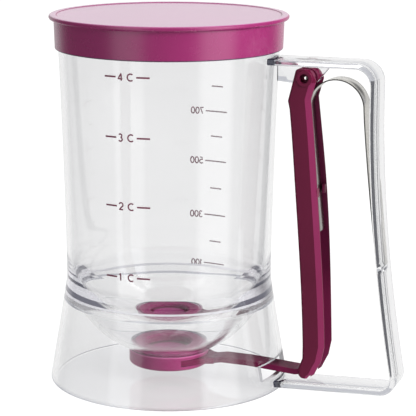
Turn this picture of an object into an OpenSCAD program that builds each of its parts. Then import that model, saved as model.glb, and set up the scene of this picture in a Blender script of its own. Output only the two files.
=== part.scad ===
// Hand-held pancake batter dispenser: a clear cup with a funnel bottom and a sliding gate
// valve, worked by a sprung trigger in front of a clear strap handle.
// Millimetres, +Z up, handle along +X, resting on Z = 0.
// Every module draws its piece around the cup's axis; on_axis() moves it into place.

/* [Cup] */
// Height of the cup's rim above the table
rim_z = 174.0; // [168:0.5:184]
// Outer radius of the cup at its rim
rim_r = 53.0; // [51.5:0.1:56]
// Outer radius at the waist, the narrowest place
waist_r = 49.6; // [48.5:0.1:51]
// Height of the waist
waist_z = 51.0; // [49:0.5:57]
// Thickness of the cup, bowl and skirt walls
wall = 2.2; // [1.8:0.1:2.6]

/* [Bowl and outlet] */
// Height of the joint between the cup and the base skirt
joint_z = 43.5; // [41:0.5:46]
// Radius of the bowl's underside in section
bowl_r = 48.0; // [47:0.5:52]
// Inner radius of the outlet collar
outlet_r = 17.6; // [16.8:0.1:18.2]
// Height of the collar's lower rim
collar_z = 14.2; // [13.8:0.1:14.6]
// Height of the collar's outer wall, under the bowl
collar_h = 0.9; // [0.5:0.1:2]

/* [Base skirt] */
// Outer radius of the foot
foot_r = 58.1; // [56:0.1:61]
// Half width of the window that the gate's arm passes through
window_half_w = 17.0; // [16.4:0.1:19]
// Height of the window's sill
window_sill_z = 6.8; // [6.2:0.1:7]
// Height of the window's head
window_head_z = 14.2; // [14:0.1:18]
// Height of the seat ring that carries the bowl at the joint
seat_ring_h = 4.0; // [2:0.1:6]

/* [Lid] */
// Radius of the lid's flange
lid_flange_r = 56.8; // [55.5:0.1:60]
// Thickness of the lid's top
lid_top_t = 3.6; // [2.4:0.1:4.4]
// Height of the lid's skirt, under the top
lid_skirt_h = 12.4; // [8:0.1:14]
// Thickness of the lid's skirt at its lower edge
lid_wall = 0.9; // [0.8:0.1:1.8]
// Outward lean of the lid's skirt from its lower edge to its top
lid_draft = 0.4; // [0.2:0.1:0.8]
// Gap between the lid and the cup
lid_gap = 0.25; // [0.15:0.05:0.4]

/* [Handle] */
// Reach of the handle's upright from the cup's axis, outer face, at the top
grip_reach = 103.3; // [100:0.1:110]
// Further reach of the upright at the table
grip_flare = 15.2; // [10:0.1:18]
// Height from which the upright flares outward to the table
flare_z = 140.0; // [120:1:146]
// Width of the handle's strap
strap_w = 17.5; // [14:0.5:19]
// Thickness of the handle's strap
strap_t = 3.0; // [2.6:0.1:3.4]
// Height of the strap's upper face
strap_top_z = 159.7; // [158.5:0.1:160.4]
// Height of the lower bar's underside at the foot
bar_root_z = 2.0; // [1:0.1:2.2]
// Rise of the lower bar's underside to its outer end
bar_rise = 1.9; // [0:0.1:2.2]
// Radius of the upper corner, outer face
corner_top_r = 10.0; // [7:0.5:16]
// Radius of the lower corner, outer face
corner_low_r = 8.0; // [6:0.5:12]

/* [Trigger pivot] */
// Distance of the pivot from the cup's axis
pivot_x = 69.4; // [68.4:0.1:70.4]
// Height of the pivot
pivot_z = 151.4; // [150.8:0.1:151.8]
// Diameter of the pivot pin
pin_d = 3.0; // [2.4:0.1:3.6]
// Thickness of the hanger plate that carries the pin
hanger_t = 3.0; // [2:0.1:4]
// Gap between the hanger plate and the cup's wall
hanger_gap = 1.9; // [1:0.1:3]
// Radial play of the trigger's and hanger's holes on the pin
pin_play = 0.05; // [0.02:0.01:0.1]

/* [Trigger] */
// Depth of the trigger's channel, web to open edge
lever_d = 10.6; // [9.6:0.1:11.2]
// Width of the trigger at its widest place
lever_w = 19.0; // [17:0.5:20]
// Width of the trigger at its head
head_w = 16.0; // [15.6:0.2:17]
// Width of the trigger at its foot
foot_w = 15.6; // [15.2:0.2:17]
// Thickness of the channel's cheeks and web
lever_t = 2.0; // [1.6:0.1:2.4]
// Height of the trigger's foot above the table
foot_z = 7.9; // [7.6:0.1:8.6]
// Width of the chamfer along the open edge of each cheek
cheek_chamfer = 3.0; // [1:0.1:3.4]
// Squeeze of the trigger, in degrees
squeeze = 10.0; // [8:0.5:10.4]

/* [Spring] */
// Width of the spring strip
spring_w = 11.0; // [9:0.5:11.5]
// Thickness of the spring strip
spring_t = 0.5; // [0.4:0.05:0.7]
// Height of the strip's lower end in the trigger
spring_low_z = 79.0; // [70:1:90]
// Height of the strip's lower end on the handle
spring_seat_z = 64.5; // [60:0.5:75]
// Height of the top of the spring's arch
arch_top_z = 151.5; // [149:0.1:152.5]
// Distance of the arch's outer foot from the cup's axis
arch_end_x = 97.4; // [96:0.1:98.4]
// Height at which the strip comes to rest on the upright
touch_z = 67.0; // [66:0.5:76]

/* [Gate valve] */
// Radius of the batter hole
hole_r = 11.2; // [9:0.1:12]
// Outer radius of the valve housing
housing_r = 19.5; // [18.9:0.1:20.4]
// Height of the housing's underside
housing_z = 6.9; // [6.4:0.1:7.2]
// Thickness of the housing's floor, under the gate
floor_t = 2.1; // [1.6:0.1:2.4]
// Height of the gate's slot
slot_h = 3.2; // [3:0.1:3.3]
// Height of the spigot that stands in the collar
spigot_h = 2.3; // [1.6:0.1:3]
// Thickness of the gasket on the housing's shoulder
gasket_t = 0.8; // [0.6:0.1:1]
// Half width of the gate
gate_half_w = 15.0; // [14.4:0.1:15.2]
// Thickness of the gate
gate_t = 2.7; // [2.3:0.1:2.8]
// Overlap of the closed gate beyond the hole
gate_lap = 2.0; // [1.6:0.1:2.6]
// Side play of the gate in its slot
gate_play = 0.3; // [0.1:0.05:0.4]
// Width of the gate's arm
arm_w = 10.0; // [8:0.2:10.4]
// Rise of the arm from the gate to its crown
arm_rise = 1.2; // [0:0.1:1.4]
// Distance of the arm's cross bar from the cup's axis
bar_x = 72.6; // [72.2:0.1:73.2]
// Height of the cross bar
bar_z = 10.9; // [10.7:0.1:11.2]
// Diameter of the cross bar
bar_d = 3.4; // [3:0.1:3.6]
// Play of the cross bar in the trigger's grooves
bar_play = 0.3; // [0.2:0.05:0.4]

/* [Hidden] */
$fn = 96;
eps = 0.01;

clear_plastic = [0.86, 0.89, 0.92, 0.45];
plum = "#8c2f5e";
steel = "#b9bcbe";
silicone = "#a2507c";

// The handle reaches further than the foot, so the axis stands off the middle.
function axis_x() = -(grip_end - body_r(foot_round)) / 2;

// ---------- outlines ----------

// Points of an arc round [x, z] from angle a to angle b.
function arc(x, z, r, a, b, n = 10) =
    [for (i = [0:n]) let (t = a + (b - a) * i / n) [x + r * cos(t), z + r * sin(t)]];

// Unit vector of v, and v turned a quarter left.
function unit(v) = v / norm(v);
function left(v) = [-v[1], v[0]];

// Direction of a path at point i, from its two neighbours.
function heading(p, i) = unit(p[min(i + 1, len(p) - 1)] - p[max(i - 1, 0)]);

// A path moved sideways by d, to its left.
function beside(p, d) = [for (i = [0:len(p) - 1]) p[i] + left(heading(p, i)) * d];

function reversed(p) = [for (i = [len(p) - 1:-1:0]) p[i]];
function without_first(p) = [for (i = [1:len(p) - 1]) p[i]];

// A closed outline of a band between a path and the same path moved by d.
function band(p, d) = concat(p, reversed(beside(p, d)));

// Outer radius of the cup above the waist and of the skirt below it.
cup_curve = 1.5;
skirt_curve = 1.05;
function body_r(z) = z > waist_z
    ? waist_r + (rim_r - waist_r) * pow((z - waist_z) / (rim_z - waist_z), cup_curve)
    : waist_r + (foot_r - waist_r) * pow((waist_z - z) / waist_z, skirt_curve);

// The bowl's section arc leaves the cup's wall at the waist and ends on the collar.
collar_r = outlet_r + wall;
bowl_centre_x = waist_r - bowl_r;
bowl_centre_z = collar_z + collar_h + sqrt(pow(bowl_r, 2) - pow(collar_r - bowl_centre_x, 2));

// Angle on the bowl's section arc of radius r at distance x from the axis.
function bowl_angle(x, r) = -acos((x - bowl_centre_x) / r);

// ---------- cup ----------

rim_round = wall / 2;
cup_steps = 12;
function cup_outer() = concat([[body_r(joint_z), joint_z]], [for (i = [0:cup_steps])
    let (z = waist_z + (rim_z - rim_round - waist_z) * i / cup_steps) [body_r(z), z]]);

bowl_in_r = bowl_r - wall;
inner_low_z = max(waist_z, bowl_centre_z);
function cup_inner() = [for (i = [0:cup_steps])
    let (z = rim_z - rim_round - (rim_z - rim_round - inner_low_z) * i / cup_steps)
    [body_r(z) - wall, z]];

bowl_seam_angle = -asin((bowl_centre_z - joint_z) / bowl_r);

module cup() {
    on_axis() color(clear_plastic) rotate_extrude($fn = 128) polygon(concat(
        cup_outer(),
        arc(rim_r - rim_round, rim_z - rim_round, rim_round, 0, 180, 8),
        cup_inner(),
        arc(bowl_centre_x, bowl_centre_z, bowl_in_r, 0, bowl_angle(outlet_r, bowl_in_r), 20),
        [[outlet_r, collar_z], [collar_r, collar_z]],
        arc(bowl_centre_x, bowl_centre_z, bowl_r, bowl_angle(collar_r, bowl_r),
            bowl_seam_angle, 20)));
}

// ---------- base skirt ----------

foot_round = 0.6;
skirt_steps = 8;
seat_play = 0.1;
seat_ring_z = joint_z - seat_ring_h;
seat_r = bowl_r + seat_play;
function seat_angle(z) = -asin((bowl_centre_z - z) / seat_r);

// The skirt's face, moved in by inset, from its foot up to the joint.
function skirt_line(inset) = [for (i = [0:skirt_steps])
    let (z = foot_round + (joint_z - foot_round) * i / skirt_steps) [body_r(z) - inset, z]];

module skirt_window() {
    translate([0, -window_half_w, window_sill_z])
        cube([foot_r + wall, 2 * window_half_w, window_head_z - window_sill_z]);
}

module base_skirt() {
    on_axis() color(clear_plastic) difference() {
        rotate_extrude($fn = 128) polygon(concat(
            arc(body_r(foot_round) - foot_round, foot_round, foot_round, -90, 0, 4),
            skirt_line(0),
            arc(bowl_centre_x, bowl_centre_z, seat_r, seat_angle(joint_z),
                seat_angle(seat_ring_z), 4),
            [[body_r(seat_ring_z) - wall, seat_ring_z]],
            without_first(reversed(skirt_line(wall))),
            [[body_r(foot_round) - wall + foot_round / 2, 0]]));
        skirt_window();
    }
}

// ---------- handle ----------

// Outer face of the upright, and how far it leans out from the vertical.
grip_curve = 1.8;
function grip_x(z) = grip_reach + (z < flare_z
    ? grip_flare * pow((flare_z - z) / flare_z, grip_curve) : 0);
function grip_lean(z) =
    atan(grip_flare * grip_curve / flare_z * pow((flare_z - z) / flare_z, grip_curve - 1));

grip_steps = 12;
low_corner_z = bar_root_z + bar_rise + corner_low_r;
low_lean = grip_lean(low_corner_z);
low_turn_z = low_corner_z + corner_low_r * sin(low_lean);
low_corner_x = grip_x(low_turn_z) - corner_low_r * cos(low_lean);
grip_end = low_corner_x + corner_low_r;
strap_root_x = body_r(strap_top_z) - wall;
bar_root_x = foot_r - wall;

// The strap's outer face, from the cup over the upper corner and down to the foot.
strap_line = concat(
    [[strap_root_x, strap_top_z]],
    arc(grip_reach - corner_top_r, strap_top_z - corner_top_r, corner_top_r, 90, 0, 10),
    [for (i = [1:grip_steps - 1])
        let (z = flare_z - (flare_z - low_turn_z) * i / grip_steps) [grip_x(z), z]],
    arc(low_corner_x, low_corner_z, corner_low_r, low_lean, -90, 10),
    [[bar_root_x, bar_root_z]]);

function strap_inner_x(z) = grip_x(z) - strap_t;

hanger_nose_r = 4.8;
hanger_nose_from = 232;
hanger_nose_to = 318;
hanger_drop = 2.6;
hanger_slope_x = 10.4;
strap_under_z = strap_top_z - strap_t;
hanger_root_x = body_r(strap_top_z) + hanger_gap;
hanger_outline = concat(
    [[hanger_root_x, strap_under_z + strap_t / 2], [hanger_root_x, pivot_z - hanger_drop]],
    arc(pivot_x, pivot_z, hanger_nose_r, hanger_nose_from, hanger_nose_to, 8),
    [[pivot_x + hanger_slope_x, strap_under_z],
     [pivot_x + hanger_slope_x, strap_under_z + strap_t / 2]]);

// A ledge under the end of the spring, on the inner face of the upright.
ledge_h = 1.6;
ledge_d = 1.2;
spring_end_gap = 0.15;
ledge_top_z = spring_seat_z - spring_end_gap;
ledge_outline = [
    [strap_inner_x(ledge_top_z) - ledge_d, ledge_top_z],
    [strap_inner_x(ledge_top_z) + strap_t / 2, ledge_top_z],
    [strap_inner_x(ledge_top_z - ledge_h) + strap_t / 2, ledge_top_z - ledge_h - ledge_d],
    [strap_inner_x(ledge_top_z - ledge_h), ledge_top_z - ledge_h - ledge_d],
    [strap_inner_x(ledge_top_z) - ledge_d, ledge_top_z - ledge_h]];

// Extrudes an X-Z outline to width w, centred on Y = 0.
module across(w) {
    rotate([90, 0, 0]) translate([0, 0, -w / 2]) linear_extrude(w) children();
}

module cylinder_across(x, z, d, w) {
    translate([x, w / 2, z]) rotate([90, 0, 0]) cylinder(h = w, d = d);
}

module body_core() {
    rotate_extrude($fn = 128) polygon(concat(
        [[0, -1], [body_r(foot_round), -1]], skirt_line(0), cup_outer(), [[0, rim_z]]));
}

module handle() {
    on_axis() color(clear_plastic) difference() {
        union() {
            across(strap_w) polygon(band(strap_line, -strap_t));
            across(hanger_t) polygon(hanger_outline);
            across(spring_w) polygon(ledge_outline);
        }
        body_core();
        cylinder_across(pivot_x, pivot_z, pin_d + 2 * pin_play, strap_w);
    }
}

// ---------- lid ----------

lid_under_z = rim_z + lid_gap;
lid_in_r = rim_r + lid_gap;
lid_edge_r = lid_in_r + lid_wall;
lid_root_r = lid_edge_r + lid_draft;
lid_low_z = lid_under_z - lid_skirt_h;
lid_round = 1.0;
lid_chamfer = 0.5;
lid_rim_t = 2.2;
lid_plug_h = 3.0;
lid_plug_t = 1.2;
lid_plug_r = rim_r - wall - lid_gap;

module lid() {
    on_axis() color(plum) rotate_extrude($fn = 128) polygon(concat(
        [[0, lid_under_z], [lid_plug_r - lid_plug_t, lid_under_z],
         [lid_plug_r - lid_plug_t, lid_under_z - lid_plug_h],
         [lid_plug_r - lid_chamfer, lid_under_z - lid_plug_h],
         [lid_plug_r, lid_under_z - lid_plug_h + lid_chamfer], [lid_plug_r, lid_under_z],
         [lid_in_r, lid_under_z], [lid_in_r, lid_low_z],
         [lid_edge_r - lid_chamfer, lid_low_z], [lid_edge_r, lid_low_z + lid_chamfer],
         [lid_root_r, lid_under_z + lid_top_t - lid_rim_t]],
        arc(lid_flange_r - lid_round, lid_under_z + lid_top_t - lid_rim_t + lid_round,
            lid_round, -90, 0, 6),
        arc(lid_flange_r - lid_round, lid_under_z + lid_top_t - lid_round, lid_round, 0, 90, 6),
        [[0, lid_under_z + lid_top_t]]));
}

// ---------- gate valve ----------

// How far each end of the arm's cross bar reaches into the trigger's cheeks.
bar_reach = 1.0;

shoulder_z = collar_z - gasket_t;
spigot_play = 0.05;
spigot_r = outlet_r - spigot_play;
slot_z = housing_z + floor_t;
gate_z = slot_z + (slot_h - gate_t) / 2;
gate_nose_x = gate_half_w - hole_r - gate_lap;
housing_round = 1.4;
mouth_chamfer = 0.8;

// Plan outline of the gate and, grown by play, of its slot: a round nose and straight sides.
module gate_plan(grow, length) {
    translate([gate_nose_x, 0]) circle(r = gate_half_w + grow);
    translate([gate_nose_x, -gate_half_w - grow]) square([length, 2 * (gate_half_w + grow)]);
}

module valve_housing() {
    on_axis() color(plum) difference() {
        rotate_extrude() polygon(concat(
            [[hole_r, housing_z]],
            arc(housing_r - housing_round, housing_z + housing_round, housing_round, -90, 0, 6),
            [[housing_r, shoulder_z], [spigot_r, shoulder_z],
             [spigot_r, collar_z + spigot_h - mouth_chamfer],
             [spigot_r - mouth_chamfer, collar_z + spigot_h],
             [hole_r + mouth_chamfer, collar_z + spigot_h],
             [hole_r, collar_z + spigot_h - mouth_chamfer]]));
        translate([0, 0, slot_z]) linear_extrude(slot_h) gate_plan(gate_play, housing_r);
    }
}

gasket_play = 0.1;
gasket_lip = 0.3;
module outlet_gasket() {
    on_axis() color(silicone) translate([0, 0, shoulder_z]) difference() {
        cylinder(h = gasket_t, r = collar_r - gasket_lip);
        translate([0, 0, -1]) cylinder(h = gasket_t + 2, r = spigot_r + gasket_play);
    }
}

// The gate narrows to its arm in two steps that stay mostly inside the housing.
shoulder_x = 12.0;
neck_x = 21.0;
neck_half_w = 6.6;
taper_x = 25.0;
ramp_x = 23.0;
crown_x = 29.0;
crown_end_x = 42.0;
crown_sag = 0.2;
arm_low_x = 66.0;
arm_low_z = 8.5;

// The arm's underside, from the gate over its crown and down to the cross bar.
arm_line = [
    [shoulder_x, gate_z], [ramp_x, gate_z], [crown_x, gate_z + arm_rise],
    [crown_end_x, gate_z + arm_rise - crown_sag], [arm_low_x, arm_low_z],
    [bar_x, bar_z - gate_t / 2]];

module valve_gate() {
    on_axis() color(plum) {
        translate([0, 0, gate_z]) linear_extrude(gate_t) {
            gate_plan(0, shoulder_x - gate_nose_x);
            polygon([[shoulder_x - eps, -gate_half_w], [neck_x, -neck_half_w],
                     [taper_x, -arm_w / 2], [taper_x, arm_w / 2],
                     [neck_x, neck_half_w], [shoulder_x - eps, gate_half_w]]);
        }
        across(arm_w) polygon(band(arm_line, gate_t));
        cylinder_across(bar_x, bar_z, bar_d, foot_w - 2 * lever_t + 2 * bar_reach);
    }
}

// ---------- trigger ----------

head_drop = 9.7;
head_forward = 2.9;
head_z = pivot_z - head_drop;
head_x = pivot_x + head_forward;
edge_run = 8.66;
edge_bow = 1.26;
edge_steps = 8;
edge_low_z = 24.0;

// The open edge of the lever below its head: it runs outward and bows a little.
function edge_x(z) = let (t = (head_z - z) / (head_z - edge_low_z))
    head_x + edge_run * t + 4 * edge_bow * t * (1 - t);
function edge_line(inset) = [for (i = [0:edge_steps])
    let (z = head_z - (head_z - edge_low_z) * i / edge_steps) [edge_x(z) - inset, z]];

// The web's corners at the head, and its bend where the straight part begins.
top_rise = 4.3;
web_top_back = 3.8;
head_round = 2.0;
head_round_to = 165;
web_bend_back = 8.0;
web_bend_drop = 10.8;
top_z = pivot_z + top_rise;
web_top_x = pivot_x - web_top_back;
web_bend_x = pivot_x - web_bend_back;
web_bend_z = pivot_z - web_bend_drop;

// The head's open side.
brow_forward = 5.2;
brow_drop = 4.0;
brow_h = 2.8;
crest_forward = 2.2;
crest_drop = 0.6;
brow_x = pivot_x + brow_forward;
brow_low_z = pivot_z - brow_drop;
brow_top_z = brow_low_z + brow_h;
crest_x = pivot_x + crest_forward;
crest_z = top_z - crest_drop;

// The foot: the web's heel, its rounded nose, the sole and the toe.
web_low_z = 14.4;
heel_z = 17.5;
nose_z = 12.2;
nose_r = 2.4;
nose_kick = 2.0;
nose_x = edge_x(edge_low_z) - lever_d - nose_kick;
sole_forward = 0.8;
toe_forward = 3.6;
toe_rise = 2.2;
instep_forward = 7.0;
instep_z = 17.0;
sole_x = bar_x + sole_forward;
toe_x = bar_x + toe_forward;
instep_x = bar_x + instep_forward;

// Side outline of the lever: head, web, foot and open edge.
lever_side = concat(
    arc(web_top_x + head_round, top_z - head_round, head_round, 90, head_round_to, 4),
    [[web_bend_x, web_bend_z]],
    without_first(edge_line(lever_d)),
    [[edge_x(edge_low_z) - lever_d, heel_z], [nose_x, nose_z]],
    arc(nose_x + nose_r, foot_z + nose_r, nose_r, 190, 270, 4),
    [[sole_x, foot_z], [toe_x, foot_z + toe_rise], [instep_x, instep_z]],
    reversed(edge_line(0)),
    [[brow_x, brow_low_z], [brow_x, brow_top_z], [crest_x, crest_z]]);

// The spring's leg in the lever, from its lower end to the foot of the arch.
leg_top_z = 137.5;
leg_low_gap = 2.7;
leg_top_gap = 2.1;
leg_low_x = edge_x(spring_low_z) - leg_low_gap;
leg_top_x = head_x - leg_top_gap;
function leg_x(z) = leg_low_x
    + (leg_top_x - leg_low_x) * (z - spring_low_z) / (leg_top_z - spring_low_z);

// Half widths of the lever at its head, middle and foot, as a smooth barrel.
mid_z = 95.0;
function lever_half_w(z) =
    let (t = z > mid_z ? (z - mid_z) / (head_z - mid_z) : (mid_z - z) / (mid_z - edge_low_z))
    let (end = z > mid_z ? head_w : foot_w)
    (end + (lever_w - end) * (t >= 1 ? 0 : (1 + cos(180 * t)) / 2)) / 2;

front_steps = 16;
front_zs = [for (i = [0:front_steps]) foot_z - 1 + (top_z + 2 - foot_z) * i / front_steps];
lever_reach = 30;
function front_outline(inset) = concat(
    [for (z = front_zs) [lever_half_w(z) - inset, z]],
    [for (z = reversed(front_zs)) [inset - lever_half_w(z), z]]);

// Extrudes a Y-Z outline along X over the lever's whole depth.
module along(x0, x1) {
    translate([x0, 0, 0]) rotate([90, 0, 90]) linear_extrude(x1 - x0) children();
}

module lever_front(inset) {
    along(pivot_x - lever_reach, pivot_x + lever_reach) polygon(front_outline(inset));
}

// The side outline without the web, so that it cuts the channel.
beyond = 5;
channel_side = concat(
    [[web_top_x + lever_t, top_z + beyond], [web_bend_x + lever_t, web_bend_z]],
    without_first(edge_line(lever_d - lever_t)),
    [[edge_x(edge_low_z) - lever_d + lever_t, web_low_z], [nose_x - beyond, web_low_z],
     [nose_x - beyond, foot_z - beyond], [pivot_x + lever_reach, foot_z - beyond],
     [pivot_x + lever_reach, top_z + beyond]]);

// The solid lever, stepped in along its open edge in slices that make the chamfer.
chamfer_steps = 4;
chamfer_d = 1.1;
module lever_block() {
    intersection() {
        across(2 * lever_w) polygon(lever_side);
        union() for (i = [0:chamfer_steps]) intersection() {
            lever_front(chamfer_d * i / chamfer_steps);
            across(2 * lever_w) translate([-cheek_chamfer * (1 - i / chamfer_steps), 0])
                polygon(lever_side);
        }
    }
}

// Pivot bosses: inside they guide the hanger plate, outside they stand proud of the cheeks.
boss_r = 3.6;
outer_boss_r = 4.5;
boss_proud = 0.6;
guide_play = 0.3;
boss_start = hanger_t / 2 + guide_play;
boss_len = head_w / 2 - lever_t / 2 - boss_start;
outer_boss_len = lever_t / 2 + boss_proud;

module pivot_bosses() {
    for (s = [-1, 1]) {
        translate([0, s * (boss_start + boss_len / 2), 0])
            cylinder_across(pivot_x, pivot_z, 2 * boss_r, boss_len);
        translate([0, s * (head_w / 2 + boss_proud - outer_boss_len / 2), 0])
            cylinder_across(pivot_x, pivot_z, 2 * outer_boss_r, outer_boss_len);
    }
}

// Tabs on the cheeks that keep the spring's leg in the channel, on its open side.
tab_z = 98.0;
tab_h = 4.0;
tab_t = 1.2;
tab_gap = 0.3;
tab_in = spring_w / 2 - 1.0;

module spring_tabs() {
    intersection() {
        translate([leg_x(tab_z - tab_h / 2) + spring_t + tab_gap, -lever_w / 2, tab_z - tab_h / 2])
            difference() {
                cube([tab_t, lever_w, tab_h]);
                translate([-1, lever_w / 2 - tab_in, -1])
                    cube([tab_t + 2, 2 * tab_in, tab_h + 2]);
            }
        lever_front(lever_t / 2);
    }
}

// Slot in the web for the hanger plate.
hanger_slot_drop = 8.5;
module hanger_slot() {
    translate([web_bend_x - beyond, -boss_start, pivot_z - hanger_slot_drop])
        cube([pivot_x - web_bend_x + beyond, 2 * boss_start, 2 * hanger_slot_drop]);
}

// Grooves that hold the ends of the gate's cross bar, open at the foot.
groove_half_w = foot_w / 2 - lever_t + bar_reach + bar_play;
groove_top_z = bar_z + bar_d / 2 + bar_play;
module bar_grooves() {
    translate([bar_x - bar_d / 2 - bar_play, -groove_half_w, foot_z - beyond])
        cube([bar_d + 2 * bar_play, 2 * groove_half_w, groove_top_z - foot_z + beyond]);
}

module trigger() {
    on_axis() color(plum) difference() {
        union() {
            difference() {
                lever_block();
                intersection() {
                    across(2 * lever_w) polygon(channel_side);
                    lever_front(lever_t);
                }
            }
            pivot_bosses();
            spring_tabs();
        }
        cylinder_across(pivot_x, pivot_z, pin_d + 2 * pin_play, 2 * lever_w);
        hanger_slot();
        bar_grooves();
    }
}

// ---------- pivot pin ----------

pin_sink = 0.6;
module pivot_pin() {
    on_axis() color(steel)
        cylinder_across(pivot_x, pivot_z, pin_d, head_w - 2 * pin_sink);
}

// ---------- spring ----------

sag_steps = 8;
spring_back = 0.1;
arch_r = (arch_end_x - leg_top_x) / 2;
arch_x = leg_top_x + arch_r;
arch_z = arch_top_z - arch_r;

// The free part of the strip bows from the arch's outer foot to the upright.
sag_curve = 1.2;
touch_x = strap_inner_x(touch_z) - spring_back;
function sag_x(z) =
    arch_end_x + (touch_x - arch_end_x) * pow((arch_z - z) / (arch_z - touch_z), sag_curve);

// The strip's outer face: up the trigger, over the arch, down to the upright and its ledge.
spring_line = concat(
    [[leg_low_x, spring_low_z]],
    arc(arch_x, arch_z, arch_r, 180, 0, 24),
    [for (i = [1:sag_steps])
        let (z = arch_z - (arch_z - touch_z) * i / sag_steps) [sag_x(z), z]],
    [[strap_inner_x(spring_seat_z) - spring_back, spring_seat_z]]);

module leaf_spring() {
    on_axis() color(steel) across(spring_w) polygon(band(spring_line, -spring_t));
}

module on_axis() {
    translate([axis_x(), 0, 0]) children();
}

cup();
base_skirt();
handle();
lid();
valve_housing();
outlet_gasket();
valve_gate();
trigger();
pivot_pin();
leaf_spring();
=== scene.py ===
import math

import bmesh
import bpy
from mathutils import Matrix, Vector


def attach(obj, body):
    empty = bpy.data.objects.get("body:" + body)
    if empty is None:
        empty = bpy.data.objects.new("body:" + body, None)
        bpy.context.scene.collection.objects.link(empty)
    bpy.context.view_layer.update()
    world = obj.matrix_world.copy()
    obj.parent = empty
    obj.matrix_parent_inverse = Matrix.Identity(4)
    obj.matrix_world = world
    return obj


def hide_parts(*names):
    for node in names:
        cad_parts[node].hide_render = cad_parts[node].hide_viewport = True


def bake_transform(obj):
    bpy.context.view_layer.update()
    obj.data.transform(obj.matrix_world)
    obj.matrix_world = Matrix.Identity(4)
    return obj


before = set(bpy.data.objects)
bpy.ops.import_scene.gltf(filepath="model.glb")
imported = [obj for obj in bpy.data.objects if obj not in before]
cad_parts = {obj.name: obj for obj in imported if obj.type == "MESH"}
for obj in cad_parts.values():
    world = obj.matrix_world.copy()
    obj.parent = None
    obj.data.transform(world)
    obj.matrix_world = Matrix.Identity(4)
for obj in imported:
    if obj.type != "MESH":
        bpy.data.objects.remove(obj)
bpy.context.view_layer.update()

# ---------------------------------------------------------------- sizes, in millimetres
MM = 0.001
RIM_Z, RIM_R = 174.0, 53.0
WAIST_R, WAIST_Z = 49.6, 51.0
FOOT_R, FOOT_ROUND = 58.1, 0.6
WALL = 2.2
JOINT_Z, SEAT_H = 43.5, 4.0
BOWL_R = 48.0
OUTLET_R = 17.6
COLLAR_Z, COLLAR_H = 14.2, 0.9
COLLAR_R = OUTLET_R + WALL
BOWL_X = WAIST_R - BOWL_R
BOWL_Z = COLLAR_Z + COLLAR_H + math.sqrt(BOWL_R ** 2 - (COLLAR_R - BOWL_X) ** 2)
GRIP_REACH, GRIP_FLARE, FLARE_Z, GRIP_CURVE = 103.3, 15.2, 140.0, 1.8
STRAP_W, STRAP_T, STRAP_TOP = 17.5, 3.0, 159.7
BAR_ROOT_Z, BAR_RISE = 2.0, 1.9
CORNER_TOP, CORNER_LOW = 10.0, 8.0
PIVOT_X, PIVOT_Z = 69.4, 151.4
PIN_D = 3.0
LEVER_D, LEVER_W, LEVER_T = 10.6, 19.0, 2.0
HEAD_W, FOOT_W, LEVER_FOOT_Z = 16.0, 15.6, 7.9
SPRING_W, SPRING_T = 11.0, 0.5
SPRING_LOW_Z, SPRING_SEAT_Z, TOUCH_Z = 79.0, 64.5, 67.0
ARCH_TOP_Z, ARCH_END_X = 151.5, 97.4
BAR_X, BAR_Z, BAR_D = 72.6, 10.9, 3.4
AIR = 0.06                 # the film of air between two clear pieces
PIN_AIR = 0.05             # the pin's play in its hole
AROUND = 192               # faces round each turned piece
WINDOW_W, WINDOW_LOW_Z, WINDOW_TOP_Z = 34.0, 6.8, 14.2
PAINTED_SHADE_X, PAINTED_SHADE_Y, PAINTED_SHADE_Z = 93.4, -1.0, 147.5     # the middle of the patch of painted shade on the spring's arch


def body_r(z):
    """The outer radius of the cup and its base at height z."""
    if z > WAIST_Z:
        return WAIST_R + (RIM_R - WAIST_R) * ((z - WAIST_Z) / (RIM_Z - WAIST_Z)) ** 1.5
    return WAIST_R + (FOOT_R - WAIST_R) * ((WAIST_Z - z) / WAIST_Z) ** 1.05


def grip_x(z):
    """How far the upright's outer face stands from the cup's axis at height z."""
    lean = ((FLARE_Z - z) / FLARE_Z) ** GRIP_CURVE if z < FLARE_Z else 0.0
    return GRIP_REACH + GRIP_FLARE * lean


# The lower corner of the handle, and with it how far the cup's axis stands off the middle.
LOW_Z = BAR_ROOT_Z + BAR_RISE + CORNER_LOW
LOW_LEAN = math.atan(GRIP_FLARE * GRIP_CURVE / FLARE_Z
                     * ((FLARE_Z - LOW_Z) / FLARE_Z) ** (GRIP_CURVE - 1))
TURN_Z = LOW_Z + CORNER_LOW * math.sin(LOW_LEAN)
LOW_X = grip_x(TURN_Z) - CORNER_LOW * math.cos(LOW_LEAN)
AXIS_X = -(LOW_X + CORNER_LOW - body_r(FOOT_ROUND)) / 2


def arc(x, z, r, a, b, n=10):
    """Points of an arc round (x, z) from angle a to angle b, in degrees."""
    out = []
    for i in range(n + 1):
        t = math.radians(a + (b - a) * i / n)
        out.append((x + r * math.cos(t), z + r * math.sin(t)))
    return out


def circle(x, z, r, n):
    return arc(x, z, r, 0, 360 - 360 / n, n - 1)


def span(a, b, n):
    """The ends of n even steps from a to b."""
    return [a + (b - a) * i / n for i in range(n + 1)]


# ---------------------------------------------------------------- mesh helpers
def finish_mesh(bm, name, sharp=None):
    """A new object from bm, given in millimetres round the cup's axis."""
    bmesh.ops.remove_doubles(bm, verts=bm.verts, dist=1e-5)
    bmesh.ops.recalc_face_normals(bm, faces=bm.faces)
    for v in bm.verts:
        v.co = Vector(((v.co.x + AXIS_X) * MM, v.co.y * MM, v.co.z * MM))
    mesh = bpy.data.meshes.new(name)
    bm.to_mesh(mesh)
    bm.free()
    obj = bpy.data.objects.new(name, mesh)
    bpy.context.scene.collection.objects.link(obj)
    mesh.shade_smooth()
    if sharp is not None:
        mesh.set_sharp_from_angle(angle=math.radians(sharp))
    return obj


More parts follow.
